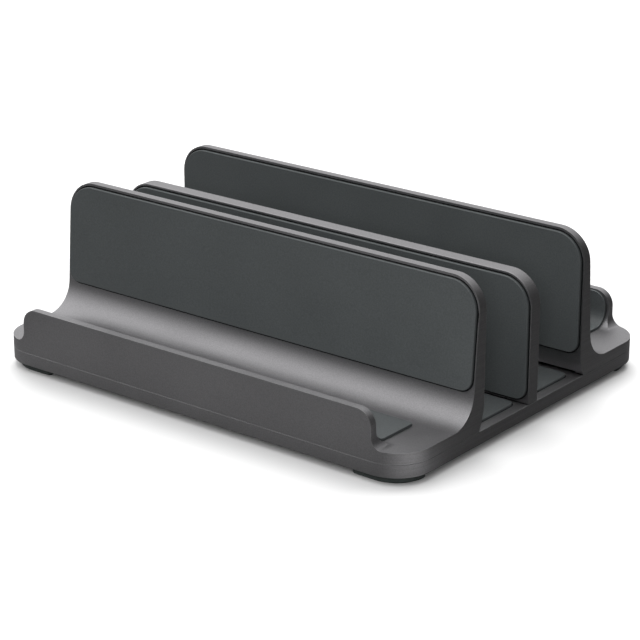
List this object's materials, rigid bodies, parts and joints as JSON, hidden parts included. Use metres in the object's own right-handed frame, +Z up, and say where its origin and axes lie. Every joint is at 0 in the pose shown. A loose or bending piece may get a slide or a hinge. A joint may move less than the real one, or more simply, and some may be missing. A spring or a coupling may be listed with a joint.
{
  "type": "vertical laptop stand",
  "caption": "Vertical docking stand for laptops with adjustable padded slots between upright walls and a lipped trough along each long edge for phones or tablets.",
  "frame": {"origin": "on the table, under the middle of the base", "axes": "+X to the right along the slots, +Y to the back, +Z up"},
  "size_m": [0.201, 0.161, 0.0665],
  "materials": {
    "grey_aluminium": "fine blasted and anodised, space grey",
    "grey_silicone": "matt moulded silicone sheet",
    "dark_silicone": "matt moulded silicone",
    "screw_steel": "blackened steel",
    "washer_steel": "zinc plated"
  },
  "bodies": {
    "base": {"base_plate": "grey_aluminium", "divider_wall": "grey_aluminium", "divider_screws": "screw_steel", "divider_front_pad": "grey_silicone", "divider_rear_pad": "grey_silicone", "front_slot_floor_pad": "grey_silicone", "rear_slot_floor_pad": "grey_silicone", "foot_front_left": "dark_silicone", "foot_front_right": "dark_silicone", "foot_rear_left": "dark_silicone", "foot_rear_right": "dark_silicone"},
    "front_dock": {"front_dock": "grey_aluminium", "front_wall_outer_pad": "grey_silicone", "front_wall_slot_pad": "grey_silicone", "front_trough_pad": "grey_silicone", "front_lock_screws": "screw_steel", "front_lock_washers": "washer_steel"},
    "rear_dock": {"rear_dock": "grey_aluminium", "rear_wall_outer_pad": "grey_silicone", "rear_wall_slot_pad": "grey_silicone", "rear_trough_pad": "grey_silicone", "rear_lock_screws": "screw_steel", "rear_lock_washers": "washer_steel"}
  },
  "joints": [
    {"name": "front_dock_slide", "type": "slide", "parent": "base", "child": "front_dock", "axis": [0, 1, 0], "range_m": [0, 0.014]},
    {"name": "rear_dock_slide", "type": "slide", "parent": "base", "child": "rear_dock", "axis": [0, -1, 0], "range_m": [0, 0.014]}
  ]
}
